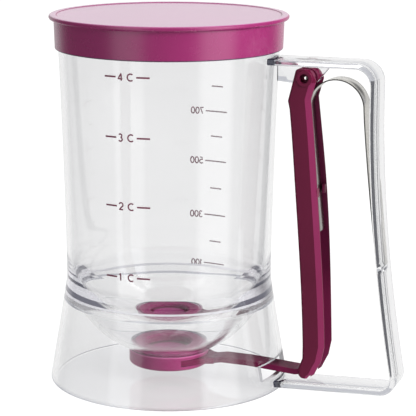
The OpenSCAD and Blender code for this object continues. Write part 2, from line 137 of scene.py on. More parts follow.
def lathe(profile, n):
    """A closed outline of (r, z) points turned round the axis."""
    bm = bmesh.new()
    rings = []
    for r, z in profile:
        if r < 1e-6:
            rings.append([bm.verts.new((0, 0, z))])
        else:
            rings.append([bm.verts.new((r * math.cos(2 * math.pi * i / n),
                                        r * math.sin(2 * math.pi * i / n), z)) for i in range(n)])
    for k in range(len(rings)):
        a, b = rings[k], rings[(k + 1) % len(rings)]
        if len(a) == 1 and len(b) == 1:
            continue
        for i in range(n):
            j = (i + 1) % n
            quad = [a[i % len(a)], a[j % len(a)], b[j % len(b)], b[i % len(b)]]
            quad = [v for m, v in enumerate(quad) if v not in quad[:m]]
            bm.faces.new(quad)
    return bm


def prism(outline, y0, y1, bevel=0.0):
    """An (x, z) outline extruded across from y0 to y1, with its rims rounded."""
    bm = bmesh.new()
    front = [bm.verts.new((x, y0, z)) for x, z in outline]
    back = [bm.verts.new((x, y1, z)) for x, z in outline]
    n = len(outline)
    for i in range(n):
        j = (i + 1) % n
        bm.faces.new((front[i], front[j], back[j], back[i]))
    a = bm.faces.new(front)
    b = bm.faces.new(back)
    bmesh.ops.recalc_face_normals(bm, faces=bm.faces)
    if bevel:
        edges = list(set(a.edges) | set(b.edges))
        bmesh.ops.bevel(bm, geom=edges, offset=bevel, segments=2, affect="EDGES",
                        profile=0.5, clamp_overlap=True)
    return bm


def rounded_section(w, t, outer, inner, n=4):
    """A rounded rectangle of width w across Y and thickness t, from 0 down to -t."""
    pts = []
    for cy, ct, r, a in ((w / 2 - outer, -outer, outer, 0), (-w / 2 + outer, -outer, outer, 90),
                         (-w / 2 + inner, -t + inner, inner, 180),
                         (w / 2 - inner, -t + inner, inner, 270)):
        for y, s in arc(cy, ct, r, a, a + 90, n):
            pts.append((y, s))
    return pts


def sweep(path, section):
    """Sweeps a (y, depth) section along an (x, z) path; depth is measured to the path's left."""
    bm = bmesh.new()
    rings = []
    for i, (x, z) in enumerate(path):
        ax, az = path[max(i - 1, 0)]
        bx, bz = path[min(i + 1, len(path) - 1)]
        d = math.hypot(bx - ax, bz - az)
        nx, nz = -(bz - az) / d, (bx - ax) / d
        rings.append([bm.verts.new((x + nx * s, y, z + nz * s)) for y, s in section])
    m = len(section)
    for a, b in zip(rings, rings[1:]):
        for i in range(m):
            j = (i + 1) % m
            bm.faces.new((a[i], a[j], b[j], b[i]))
    bm.faces.new(rings[0])
    bm.faces.new(rings[-1])
    bmesh.ops.recalc_face_normals(bm, faces=bm.faces)
    return bm


def boolean(obj, others, kind):
    """Joins the others to obj or cuts them from it, and removes them."""
    for other in others:
        m = obj.modifiers.new("b", "BOOLEAN")
        m.operation = kind
        m.solver = "EXACT"
        m.object = other
        dg = bpy.context.evaluated_depsgraph_get()
        mesh = bpy.data.meshes.new_from_object(obj.evaluated_get(dg))
        obj.modifiers.clear()
        obj.data = mesh
        bpy.data.objects.remove(other)
    return obj


# ---------------------------------------------------------------- material helpers
PASS_COLOUR = (0.975, 0.975, 0.98, 1)       # shadow and diffuse rays through one clear face
CAUGHT_COLOUR = (0.22, 0.22, 0.27, 1)
CAUGHT_DEPTH = 12.5


class Nodes:
    """A small wrapper for building the node tree of a material or of the world."""

    def __init__(self, owner, output="ShaderNodeOutputMaterial"):
        owner.use_nodes = True
        self.tree = owner.node_tree
        self.tree.nodes.clear()
        self.out = self.add(output)

    def add(self, kind, **values):
        node = self.tree.nodes.new(kind)
        for key, value in values.items():
            setattr(node, key, value)
        return node

    def feed(self, value, socket):
        """Links an output to a socket, or sets the socket to a plain value."""
        if isinstance(value, bpy.types.NodeSocket):
            self.tree.links.new(value, socket)
        else:
            socket.default_value = value

    def shader(self, values):
        """The main shader, its sockets linked or set, on the output."""
        node = self.add("ShaderNodeBsdfPrincipled")
        for key, value in values.items():
            self.feed(value, node.inputs[key])
        self.feed(node.outputs["BSDF"], self.out.inputs["Surface"])
        return node.outputs["BSDF"]

    def place(self):
        return self.add("ShaderNodeTexCoord").outputs["Object"]

    def noise(self, scale, detail=3.0, rough=0.5, stretch=(1, 1, 1)):
        mapping = self.add("ShaderNodeMapping")
        mapping.inputs["Scale"].default_value = stretch
        self.feed(self.place(), mapping.inputs["Vector"])
        node = self.add("ShaderNodeTexNoise")
        for key, value in (("Vector", mapping.outputs["Vector"]), ("Scale", scale),
                           ("Detail", detail), ("Roughness", rough)):
            self.feed(value, node.inputs[key])
        return node.outputs["Fac"]

    def ramp(self, fac, low, high):
        """Blends low into high over the middle of fac's range."""
        node = self.add("ShaderNodeValToRGB")
        for element, at, colour in zip(node.color_ramp.elements, (0.3, 0.7), (low, high)):
            element.position = at
            element.color = (*colour, 1)
        self.feed(fac, node.inputs["Fac"])
        return node.outputs["Color"]

    def spread(self, fac, low, high):
        node = self.add("ShaderNodeMapRange")
        for key, value in (("Value", fac), ("To Min", low), ("To Max", high)):
            self.feed(value, node.inputs[key])
        return node.outputs["Result"]

    def smooth(self, value, a, b, low, high):
        """Goes smoothly from low to high while value goes from a to b."""
        node = self.add("ShaderNodeMapRange", interpolation_type="SMOOTHSTEP")
        for key, part in (("Value", value), ("From Min", a), ("From Max", b),
                          ("To Min", low), ("To Max", high)):
            self.feed(part, node.inputs[key])
        return node.outputs["Result"]

    def bump(self, fac, strength, distance):
        node = self.add("ShaderNodeBump")
        for key, value in (("Height", fac), ("Strength", strength), ("Distance", distance)):
            self.feed(value, node.inputs[key])
        return node.outputs["Normal"]

    def calc(self, operation, a, b):
        node = self.add("ShaderNodeMath", operation=operation)
        self.feed(a, node.inputs[0])
        self.feed(b, node.inputs[1])
        return node.outputs["Value"]

    def vector(self, operation, a, b=None):
        node = self.add("ShaderNodeVectorMath", operation=operation)
        self.feed(a, node.inputs[0])
        if b is not None:
            self.feed(b, node.inputs[1])
        is_number = operation in ("DOT_PRODUCT", "LENGTH", "DISTANCE")
        return node.outputs["Value" if is_number else "Vector"]

    def mix(self, fac, a, b, blend="MIX"):
        node = self.add("ShaderNodeMix", data_type="RGBA", blend_type=blend)
        self.feed(fac, node.inputs["Factor"])
        self.feed(a, node.inputs[6])
        self.feed(b, node.inputs[7])
        return node.outputs[2]

    def mix_shaders(self, fac, a, b):
        node = self.add("ShaderNodeMixShader")
        for k, value in enumerate((fac, a, b)):
            self.feed(value, node.inputs[k])
        return node.outputs["Shader"]


def moulded_plastic(name, low, high, rough, coat=0.0, shine=0.3, middle=None):
    """Opaque moulded plastic: slow colour drift, a slightly uneven shine and a fine skin.
    A middle is another colour within 9 mm of the cup's axis."""
    mat = bpy.data.materials.new(name)
    n = Nodes(mat)
    colour = n.ramp(n.noise(28, 2.0), low, high)
    if middle:
        at = n.vector("SUBTRACT", n.place(), (AXIS_X * MM, 0, 0))
        far = n.vector("LENGTH", n.vector("MULTIPLY", at, (1, 1, 0)))
        colour = n.mix(n.smooth(far, 0.0085, 0.0095, 1.0, 0.0), colour, (*middle, 1))
    n.shader({
        "Base Color": colour,
        "Roughness": n.spread(n.noise(170, 4.0, 0.6), rough * 0.85, rough * 1.2),
        "Normal": n.bump(n.noise(900, 3.0, 0.55), 0.06, 0.0002),
        "IOR": 1.49,
        "Coat Weight": coat,
        "Coat Roughness": 0.08,
        "Specular IOR Level": shine})
    return mat


def clear_plastic(name, tint, grey, density):
    """Clear moulded plastic, greyer the longer the light's way through it. Shadow and
    diffuse rays pass, so what is inside stays lit."""
    mat = bpy.data.materials.new(name)
    n = Nodes(mat)
    plastic = n.shader({
        "Base Color": n.ramp(n.noise(30, 2.0), tuple(0.99 * c for c in tint), tint),
        "Roughness": n.spread(n.noise(220, 3.0), 0.0, 0.03),
        "Normal": n.bump(n.noise(42, 2.0, 0.4, (1, 1, 0.12)), 0.05, 0.0006),
        "IOR": 1.52,
        "Transmission Weight": 1.0})
    path = n.add("ShaderNodeLightPath")
    either = n.calc("MAXIMUM", path.outputs["Is Shadow Ray"], path.outputs["Is Diffuse Ray"])
    through = n.add("ShaderNodeBsdfTransparent")
    through.inputs["Color"].default_value = PASS_COLOUR
    clear = n.mix_shaders(either, plastic, through.outputs["BSDF"])
    # Light that stays caught in a corner ends as a grey glow there, not as black.
    caught = n.calc("GREATER_THAN", path.outputs["Ray Depth"], CAUGHT_DEPTH)
    glow = n.add("ShaderNodeEmission")
    glow.inputs["Color"].default_value = CAUGHT_COLOUR
    n.feed(n.mix_shaders(caught, clear, glow.outputs["Emission"]), n.out.inputs["Surface"])
    smoke = n.add("ShaderNodeVolumeAbsorption")
    smoke.inputs["Color"].default_value = (*grey, 1)
    smoke.inputs["Density"].default_value = density
    n.feed(smoke.outputs["Volume"], n.out.inputs["Volume"])
    return mat


def metal(name, low, high, rough, painted_shade_at=None):
    """Polished or drawn metal: fine lines along it and a slightly uneven shine; a wide spread of
    colour in the lines also paints reflection streaks.
    The point that may be given last, in metres, is the middle of a patch of painted shade."""
    mat = bpy.data.materials.new(name)
    n = Nodes(mat)
    lines = n.noise(60, 4.0, 0.6, (0.25, 12, 0.25))
    colour = n.ramp(lines, low, high)
    if painted_shade_at:
        # Painted shade: the colour darkens in a patch round the given point, narrower across the
        # strip.
        at = n.vector("SUBTRACT", n.place(), painted_shade_at)
        far = n.vector("LENGTH", n.vector("MULTIPLY", at, (1, 2.5, 1)))
        colour = n.mix(1.0, colour, n.smooth(far, 0.002, 0.0075, 0.15, 1.0), "MULTIPLY")
    n.shader({
        "Base Color": colour,
        "Roughness": n.spread(lines, rough * 0.8, rough * 1.25),
        "Normal": n.bump(lines, 0.05, 0.0002),
        "Metallic": 1.0})
    return mat


def matte(name, low, high, rough, shine=0.5):
    """A dull surface with slow drift of colour: ink, rubber, and faces given painted shade or
    painted highlights.
    """
    mat = bpy.data.materials.new(name)
    n = Nodes(mat)
    n.shader({
        "Base Color": n.ramp(n.noise(60, 3.0), low, high),
        "Roughness": n.spread(n.noise(300, 3.0), rough * 0.9, min(1.0, rough * 1.1)),
        "Specular IOR Level": shine})
    return mat


M_CLEAR = clear_plastic("clear_plastic", (0.972, 0.972, 0.974), (0.1, 0.11, 0.12), 5.5)
M_LID = moulded_plastic("plum_lid", (0.165, 0.01, 0.07), (0.187, 0.013, 0.083), 0.26, 0.0, 0.6)
# Painted sheen: the lid's flat top is a much lighter copy of the plum, standing in for the
# backdrop's reflection.
M_LID_TOP_SHEEN = moulded_plastic("plum_lid_top_painted_sheen", (0.31, 0.062, 0.21), (0.34, 0.068, 0.23), 0.22,
                            0.68, 0.5)
# Painted shade: a near-black plum for the lid's lowest rim, a dark line under the lid's band.
M_LID_LOW_SHADE = matte("plum_lid_low_painted_shade", (0.03, 0.012, 0.035), (0.04, 0.016, 0.045), 0.5)
M_PLUM = moulded_plastic("plum_part", (0.078, 0.0045, 0.022), (0.09, 0.006, 0.027), 0.34, 0.0, 0.1)
# Painted light: a lighter copy of the trigger's plum, for its chamfered edge and the far cheek's
# inner face.
M_PLUM_LIT = moulded_plastic("plum_painted_light", (0.13, 0.011, 0.047), (0.15, 0.014, 0.057), 0.3)
M_VALVE = moulded_plastic("plum_valve", (0.2, 0.016, 0.085), (0.23, 0.02, 0.1), 0.3)
M_GATE = moulded_plastic("plum_gate", (0.105, 0.007, 0.036), (0.12, 0.009, 0.043), 0.34, 0.0, 0.05,
                         (0.3, 0.045, 0.16))
# The spring's lines run from dark to light steel: drawn lines, with painted reflection streaks along
# the strip in their wide range.
M_STEEL = metal("spring_steel", (0.38, 0.37, 0.34), (0.86, 0.84, 0.79), 0.22,
                ((PAINTED_SHADE_X + AXIS_X) * MM, PAINTED_SHADE_Y * MM, PAINTED_SHADE_Z * MM))
# Painted shade: near-black steel for the spring's narrow side faces, drawing dark lines along its
# edges.
M_STEEL_EDGE_SHADE = metal("steel_edge_painted_shade", (0.035, 0.035, 0.033), (0.06, 0.06, 0.057), 0.4)
M_RIVET = metal("rivet_steel", (0.8, 0.79, 0.77), (0.93, 0.92, 0.9), 0.12)
# Painted shade: near-black navy for the strap's end faces at the cup and for the hanger plate's free
# end.
M_JOINT_SHADE = matte("joint_face_painted_shade", (0.012, 0.013, 0.022), (0.02, 0.021, 0.032), 0.9, 0.0)
# Painted highlight: light grey for the flat faces where cup and skirt meet, the light line round the
# waist.
M_SEAM_HIGHLIGHT = matte("seam_painted_highlight", (0.55, 0.55, 0.57), (0.62, 0.62, 0.64), 0.6, 0.2)
# Painted highlight: light grey for the cut faces of the skirt's window, light lines along its edges.
M_WINDOW_HIGHLIGHT = matte("window_edge_painted_highlight", (0.4, 0.4, 0.41), (0.46, 0.46, 0.47), 0.6, 0.2)
M_SILICONE = matte("plum_silicone", (0.3, 0.06, 0.16), (0.36, 0.08, 0.2), 0.5)
M_PRINT = matte("plum_print", (0.1, 0.013, 0.035), (0.125, 0.018, 0.045), 0.45)


def paint(obj, material):
    obj.data.materials.clear()
    obj.data.materials.append(material)


# ---------------------------------------------------------------- clear pieces
def cup_profile():
    """The cup's wall, the bowl below it and its outlet collar."""
    collar_a = -math.degrees(math.acos((OUTLET_R - BOWL_X) / (BOWL_R - WALL)))
    collar_b = -math.degrees(math.acos((COLLAR_R - BOWL_X) / BOWL_R))
    low = JOINT_Z + AIR
    seam = -math.degrees(math.asin((BOWL_Z - low) / BOWL_R))
    return (
        [(body_r(z), z) for z in span(low, WAIST_Z, 12)]
        + [(body_r(z), z) for z in span(WAIST_Z, RIM_Z - WALL / 2, 40)[1:]]
        + arc(RIM_R - WALL / 2, RIM_Z - WALL / 2, WALL / 2, 0, 180, 8)[1:]
        + [(body_r(z) - WALL, z) for z in span(RIM_Z - WALL / 2, BOWL_Z, 36)[1:]]
        + arc(BOWL_X, BOWL_Z, BOWL_R - WALL, 0, collar_a, 90)[1:]
        + [(OUTLET_R, COLLAR_Z), (COLLAR_R, COLLAR_Z)]
        + arc(BOWL_X, BOWL_Z, BOWL_R, collar_b, seam, 70))


def skirt_profile():
    """The base skirt, with the ring inside its top that the bowl sits in."""
    seat_z = JOINT_Z - SEAT_H
    seat_r = BOWL_R + 0.1
    top = -math.degrees(math.asin((BOWL_Z - JOINT_Z) / seat_r))
    low = -math.degrees(math.asin((BOWL_Z - seat_z) / seat_r))
    return (
        arc(body_r(FOOT_ROUND) - FOOT_ROUND, FOOT_ROUND, FOOT_ROUND, -90, 0, 4)
        + [(body_r(z), z) for z in span(FOOT_ROUND, JOINT_Z, 40)[1:]]
        + arc(BOWL_X, BOWL_Z, seat_r, top, low, 8)
        + [(body_r(z) - WALL, z) for z in span(seat_z, FOOT_ROUND, 36)]
        + [(body_r(FOOT_ROUND) - WALL + FOOT_ROUND / 2, 0)])


def handle_path():
    """Outer face of the strap: along the top, down the upright and back along the foot."""
    top_root = body_r(STRAP_TOP) - WALL
    low_root = FOOT_R - WALL
    return (
        [(x, STRAP_TOP) for x in span(top_root, GRIP_REACH - CORNER_TOP, 6)[:-1]]
        + arc(GRIP_REACH - CORNER_TOP, STRAP_TOP - CORNER_TOP, CORNER_TOP, 90, 0, 16)
        + [(grip_x(z), z) for z in span(STRAP_TOP - CORNER_TOP, TURN_Z, 40)[1:-1]]
        + arc(LOW_X, LOW_Z, CORNER_LOW, math.degrees(LOW_LEAN), -90, 16)
        + [(x, BAR_ROOT_Z + BAR_RISE * (x - low_root) / (LOW_X - low_root))
           for x in span(LOW_X, low_root, 6)[1:]])


def finish_clear(obj, node):
    obj.data.shade_smooth()
    obj.data.set_sharp_from_angle(angle=math.radians(32))
    paint(obj, M_CLEAR)
    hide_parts(node)
    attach(obj, "jug")


def frost(obj, material, chosen):
    """Gives the chosen faces of a clear piece another material, for painted shade or a painted
    highlight.
    """
    obj.data.materials.append(material)
    for face in obj.data.polygons:
        x, y, z = face.center.x / MM - AXIS_X, face.center.y / MM, face.center.z / MM
        if chosen(x, y, z, face.normal):
            face.material_index = len(obj.data.materials) - 1


def make_cup():
    cup = finish_mesh(lathe(cup_profile(), AROUND), "clear_cup")
    finish_clear(cup, "cup")
    # The cup's flat underside at the joint takes the light grey: a painted highlight line.
    frost(cup, M_SEAM_HIGHLIGHT, lambda x, y, z, normal: normal.z < -0.95 and abs(z - JOINT_Z) < 0.2)


def make_skirt():
    skirt = finish_mesh(lathe(skirt_profile(), AROUND), "clear_skirt")
    opening = [(40, WINDOW_LOW_Z), (70, WINDOW_LOW_Z), (70, WINDOW_TOP_Z), (40, WINDOW_TOP_Z)]
    window = finish_mesh(prism(opening, -WINDOW_W / 2, WINDOW_W / 2), "window")
    finish_clear(boolean(skirt, [window], "DIFFERENCE"), "base_skirt")

    def in_window(x, y, z, normal):
        at_height = WINDOW_LOW_Z - 0.3 < z < WINDOW_TOP_Z + 0.3
        return x > 45 and at_height and max(abs(normal.y), abs(normal.z)) > 0.97

    # The skirt's flat top at the joint takes the light grey: a painted highlight line.
    frost(skirt, M_SEAM_HIGHLIGHT, lambda x, y, z, normal: normal.z > 0.95 and z > JOINT_Z - 0.2)
    # The window's cut faces take the light grey: painted highlight lines.
    frost(skirt, M_WINDOW_HIGHLIGHT, in_window)


def make_handle():
    strap = finish_mesh(sweep(handle_path(), rounded_section(STRAP_W, STRAP_T, 0.4, 1.0)),
                        "clear_handle")
    root = body_r(STRAP_TOP) + 1.9
    under = STRAP_TOP - STRAP_T
    hanger = ([(root, under + STRAP_T / 2), (root, PIVOT_Z - 2.6)]
              + arc(PIVOT_X, PIVOT_Z, 4.8, 232, 318, 10)
              + [(PIVOT_X + 10.4, under), (PIVOT_X + 10.4, under + STRAP_T / 2)])
    plate = finish_mesh(prism(hanger, -1.5, 1.5, 0.25), "plate")
    shelf_z = SPRING_SEAT_Z - 0.15
    shelf_x = grip_x(shelf_z) - STRAP_T
    ledge = [(shelf_x - 0.8, shelf_z), (shelf_x + 1.2, shelf_z), (shelf_x + 1.2, shelf_z - 1.8),
             (shelf_x + 0.2, shelf_z - 1.8), (shelf_x - 0.8, shelf_z - 0.8)]
    shelf = finish_mesh(prism(ledge, -4.5, 4.5, 0.2), "shelf")
    boolean(strap, [plate, shelf], "UNION")
    core = ([(0, -5), (body_r(0) + AIR, -5)] + [(body_r(z) + AIR, z) for z in span(0, WAIST_Z, 30)]
            + [(body_r(z) + AIR, z) for z in span(WAIST_Z, RIM_Z, 40)[1:]] + [(0, RIM_Z)])
    core = finish_mesh(lathe(core, AROUND), "core")
    hole = circle(PIVOT_X, PIVOT_Z, PIN_D / 2 + PIN_AIR, 48)
    boolean(strap, [core, finish_mesh(prism(hole, -9, 9), "hole")], "DIFFERENCE")
    finish_clear(strap, "handle")

    # The strap's ends, where they meet the cup, and the free end of the hanger plate take near-black
    # painted shade.
    def at_joint(x, y, z, normal):
        on_cup = math.hypot(x, y) < body_r(z) + 2 * AIR
        on_plate = abs(x - root) < 0.3 and abs(y) < 1.4 and z < under - 0.5
        return normal.x < -0.5 and (on_cup or on_plate)

    frost(strap, M_JOINT_SHADE, at_joint)


make_cup()
make_skirt()
make_handle()

# ---------------------------------------------------------------- lid
def make_lid():
    under = RIM_Z + 0.25
    top = under + 3.6
    inner, plug = RIM_R + 0.25, RIM_R - WALL - 0.25
    edge, root = inner + 0.9, inner + 1.3
    low = under - 12.4
    flange, rim_t = 56.8, 2.2
    face = top - 0.35
    profile = (
        [(0, under), (plug - 1.2, under), (plug - 1.2, under - 3), (plug - 0.5, under - 3),
         (plug, under - 2.5), (plug, under), (inner, under), (inner, low)]
        + arc(edge - 0.5, low + 0.5, 0.5, -90, 0, 4)
        + [(root, top - rim_t - 0.6)] + arc(root + 0.6, top - rim_t - 0.6, 0.6, 180, 90, 4)[1:]
        + arc(flange - 1.0, top - 1.1, 1.1, -80, 90, 10)
        + arc(flange - 3.0, top - 0.6, 0.6, 90, 130, 3)
        + [(r, face) for r in (flange - 3.8, flange - 4.4, 30, 0)])
    lid = finish_mesh(lathe(profile, AROUND), "lid_cap", sharp=40)
    paint(lid, M_LID)
    lid.data.materials.append(M_LID_TOP_SHEEN)
    lid.data.materials.append(M_LID_LOW_SHADE)
    for polygon in lid.data.polygons:
        # The flat top takes the lighter copy: a painted sheen.
        if polygon.normal.z > 0.9 and polygon.center.z > (top - 1.0) * MM:
            polygon.material_index = 1
        # The lowest rim of the lid takes the near-black copy: a painted shade line.
        if polygon.center.z < (low + 0.45) * MM:
            polygon.material_index = 2
    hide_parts("lid")
    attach(lid, "lid")


make_lid()

# ---------------------------------------------------------------- trigger
HEAD_X, HEAD_Z = PIVOT_X + 2.9, PIVOT_Z - 9.7
EDGE_LOW_Z, EDGE_LEAN, EDGE_BOW = 24.0, 8.66, 1.26
BARREL_Z, CHAMFER, CORNER_R = 95.0, 2.6, 1.3
WEB_TOP_X, WEB_BEND_X, WEB_BEND_Z = PIVOT_X - 4.7, PIVOT_X - 8.0, PIVOT_Z - 10.8
LEVER_TOP_Z = PIVOT_Z + 4.3


def edge_x(z):
    """The outer edge of the trigger's cheeks, which is slightly bowed."""
    t = (HEAD_Z - z) / (HEAD_Z - EDGE_LOW_Z)
    return HEAD_X + EDGE_LEAN * t + 4 * EDGE_BOW * t * (1 - t)


def edge_line(inset):
    return [(edge_x(z) - inset, z) for z in span(HEAD_Z, EDGE_LOW_Z, 24)]


def lever_half_w(z):
    """Half the trigger's width at height z: widest in the middle, like a barrel."""
    end, end_z = (HEAD_W, HEAD_Z) if z > BARREL_Z else (FOOT_W, EDGE_LOW_Z)
    t = (z - BARREL_Z) / (end_z - BARREL_Z)
    return (end + (LEVER_W - end) * (0 if t >= 1 else (1 + math.cos(math.pi * t)) / 2)) / 2


def across_at(outline, z):
    """The lowest and highest x of a closed (x, z) outline at height z."""
    hits = []
    for (x0, z0), (x1, z1) in zip(outline, outline[1:] + outline[:1]):
        if z0 != z1 and min(z0, z1) <= z <= max(z0, z1):
            hits.append(x0 + (x1 - x0) * (z - z0) / (z1 - z0))
    return min(hits), max(hits)


def loft(zs, section):
    """Joins closed (x, y) sections, one for each height, and caps both ends."""
    bm = bmesh.new()
    rings = [[bm.verts.new((x, y, z)) for x, y in section(z)] for z in zs]
    m = len(rings[0])
    for a, b in zip(rings, rings[1:]):
        for i in range(m):
            j = (i + 1) % m
            bm.faces.new((a[i], a[j], b[j], b[i]))
    bm.faces.new(rings[0])
    bm.faces.new(rings[-1])
    return bm


def make_trigger():
    foot_x = edge_x(EDGE_LOW_Z) - LEVER_D
    nose_x = foot_x - 2.0
    side = (
        arc(WEB_TOP_X + 2.0, LEVER_TOP_Z - 2.0, 2.0, 90, 165, 8) + [(WEB_BEND_X, WEB_BEND_Z)]
        + edge_line(LEVER_D)[1:] + [(foot_x, 17.5), (nose_x, 12.2)]
        + arc(nose_x + 2.4, LEVER_FOOT_Z + 2.4, 2.4, 190, 270, 8)
        + [(BAR_X + 0.8, LEVER_FOOT_Z), (BAR_X + 3.6, LEVER_FOOT_Z + 2.2), (BAR_X + 7.0, 17.0)]
        + edge_line(0)[::-1]
        + arc(PIVOT_X + 5.2 - 2.0, PIVOT_Z - 1.2, 2.0, -20, 40, 5)
        + [(PIVOT_X + 2.6, LEVER_TOP_Z - 1.0)]
        + arc(PIVOT_X + 1.6, LEVER_TOP_Z - 1.2, 1.2, 30, 90, 4))
    keys = [z for _, z in side]
    zs = sorted(set(span(LEVER_FOOT_Z, LEVER_TOP_Z, 110) + keys))
    zs = [z for k, z in enumerate(zs) if k == 0 or z - zs[k - 1] > 0.02]
    zs[0] += 0.004
    zs[-1] -= 0.004

    def outer(z):
        low, high = across_at(side, z)
        w = lever_half_w(z)
        c = min(CHAMFER, 0.4 * (high - low))
        r = min(CORNER_R, 0.25 * (high - low))
        right = [(high, 1.2 - w), (high, w - 1.2), (high - c, w)]
        corner = arc(low + r, w - r, r, 90, 180, 8) + arc(low + r, r - w, r, 180, 270, 8)
        return right + corner + [(high - c, -w)]

    inner_side = (
        [(WEB_TOP_X + LEVER_T, LEVER_TOP_Z + 5), (WEB_BEND_X + LEVER_T, WEB_BEND_Z)]
        + edge_line(LEVER_D - LEVER_T)[1:] + [(foot_x + LEVER_T, 14.4), (120, 14.4),
                                              (120, LEVER_TOP_Z + 5)])

    def inner(z):
        w = lever_half_w(z) - LEVER_T
        low = across_at(inner_side, z)[0]
        corner = arc(low + 0.8, w - 0.8, 0.8, 90, 180, 4) + arc(low + 0.8, 0.8 - w, 0.8, 180, 270, 4)
        return [(120, -w), (120, w)] + corner

    def foot_room(z):
        w = lever_half_w(z) - LEVER_T
        return [(nose_x - 5, -w), (120, -w), (120, w), (nose_x - 5, w)]

    trigger = finish_mesh(loft(zs, outer), "trigger_lever")
    channel = finish_mesh(loft(span(14.41, LEVER_TOP_Z + 4.9, 90), inner), "channel")
    room = finish_mesh(loft(span(LEVER_FOOT_Z - 4, 14.42, 6), foot_room), "room")
    boolean(trigger, [channel, room], "DIFFERENCE")
    guide = 1.8
    parts = []
    for s in (-1, 1):
        ring = circle(PIVOT_X, PIVOT_Z, 3.6, 60)
        parts.append(finish_mesh(prism(ring, *sorted((s * guide, s * (HEAD_W / 2 - 1)))), "boss"))
        ring = circle(PIVOT_X, PIVOT_Z, 3.8, 60)
        span_y = sorted((s * (HEAD_W / 2 - 1), s * (HEAD_W / 2 + 0.6)))
        parts.append(finish_mesh(prism(ring, *span_y, 0.25), "rim"))
        tab_x = spring_x(96.0) + SPRING_T + 0.3
        w = lever_half_w(98.0) - LEVER_T / 2
        tab = [(tab_x, 96.0), (tab_x + 1.2, 96.0), (tab_x + 1.2, 100.0), (tab_x, 100.0)]
        parts.append(finish_mesh(prism(tab, *sorted((s * 4.5, s * w)), 0.2), "tab"))
    boolean(trigger, parts, "UNION")
    hole = circle(PIVOT_X, PIVOT_Z, PIN_D / 2 + PIN_AIR, 48)
    mouth = circle(PIVOT_X, PIVOT_Z, PIN_D / 2 + 0.75, 48)
    slot = [(WEB_BEND_X - 5, PIVOT_Z - 8.5), (PIVOT_X, PIVOT_Z - 8.5), (PIVOT_X, PIVOT_Z + 8.5),
            (WEB_BEND_X - 5, PIVOT_Z + 8.5)]
    groove_x = (BAR_X - BAR_D / 2 - 0.3, BAR_X + BAR_D / 2 + 0.3)
    groove_z = (LEVER_FOOT_Z - 5, BAR_Z + BAR_D / 2 + 0.3)
    groove = [(groove_x[0], groove_z[0]), (groove_x[1], groove_z[0]), (groove_x[1], groove_z[1]),
              (groove_x[0], groove_z[1])]
    groove_w = FOOT_W / 2 - LEVER_T + 1.3
    mouth_y = HEAD_W / 2 - 2.2
    boolean(trigger, [finish_mesh(prism(hole, -15, 15), "hole"),
                      finish_mesh(prism(mouth, -15, -mouth_y), "mouth"),
                      finish_mesh(prism(mouth, mouth_y, 15), "mouth"),
                      finish_mesh(prism(slot, -guide, guide), "slot"),
                      finish_mesh(prism(groove, -groove_w, groove_w), "groove")], "DIFFERENCE")
    trigger.data.shade_smooth()
    trigger.data.set_sharp_from_angle(angle=math.radians(17))
    paint(trigger, M_PLUM)
    trigger.data.materials.append(M_PLUM_LIT)
    # The chamfer along the open edge and the far cheek's inner face take the lighter copy: painted
    # light.
    for face in trigger.data.polygons:
        below_head = face.center.z / MM < HEAD_Z + 8
        chamfer = 0.3 < face.normal.x < 0.8 and abs(face.normal.y) > 0.6 and below_head
        far_inside = face.normal.y < -0.9 and face.center.y > 3 * MM
        if far_inside or chamfer:
            face.material_index = 1
    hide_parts("trigger")
    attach(trigger, "trigger")


# ---------------------------------------------------------------- spring
LEG_TOP_X = HEAD_X - 1.9
LEG_LOW_X = edge_x(SPRING_LOW_Z) - 1.9


def spring_x(z):
    """The strip's leg in the trigger, outer face."""
    return LEG_LOW_X + (LEG_TOP_X - LEG_LOW_X) * (z - SPRING_LOW_Z) / (137.5 - SPRING_LOW_Z)


def make_spring():
    radius = (ARCH_END_X - LEG_TOP_X) / 2
    arch_z = ARCH_TOP_Z - radius
    back = 0.1
    touch_x = grip_x(TOUCH_Z) - STRAP_T - back

    def sag(z):
        return ARCH_END_X + (touch_x - ARCH_END_X) * ((arch_z - z) / (arch_z - TOUCH_Z)) ** 1.2

    path = ([(LEG_LOW_X + (LEG_TOP_X - LEG_LOW_X) * t, SPRING_LOW_Z + (arch_z - SPRING_LOW_Z) * t)
             for t in span(0, 1, 20)[:-1]]
            + arc(LEG_TOP_X + radius, arch_z, radius, 180, 0, 64)
            + [(sag(z), z) for z in span(arch_z, TOUCH_Z, 24)[1:]]
            + [(grip_x(SPRING_SEAT_Z) - STRAP_T - back, SPRING_SEAT_Z)])
    strip = finish_mesh(sweep(path, rounded_section(SPRING_W, SPRING_T, 0.12, 0.12, 2)),
                        "spring_strip", sharp=35)
    paint(strip, M_STEEL)
    strip.data.materials.append(M_STEEL_EDGE_SHADE)
    # The strip's side faces take the near-black steel: painted shade lines along its edges.
    for face in strip.data.polygons:
        if abs(face.normal.y) > 0.3:
            face.material_index = 1
    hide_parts("leaf_spring")
    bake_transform(strip)


def make_pin():
    """The rivet that the trigger turns on, with domed ends set back in their seats."""
    r, end, dome = PIN_D / 2, HEAD_W / 2 - 1.6, 0.55
    ball = (r * r + dome * dome) / (2 * dome)
    top = math.degrees(math.asin((ball - dome) / ball))
    cap = arc(0, end - ball, ball, 90, top, 6)
    outline = cap + [(x, -y) for x, y in reversed(cap)]
    pin = finish_mesh(lathe(outline, 48), "pivot_rivet", sharp=40)
    # It is made upright on the cup's axis and laid across the trigger's head.
    for v in pin.data.vertices:
        x, y, z = v.co.x / MM - AXIS_X, v.co.y / MM, v.co.z / MM
        v.co = Vector(((PIVOT_X + x + AXIS_X) * MM, z * MM, (PIVOT_Z - y) * MM))
    paint(pin, M_RIVET)
    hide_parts("pivot_pin")
    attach(pin, "jug")


make_trigger()
make_spring()
make_pin()

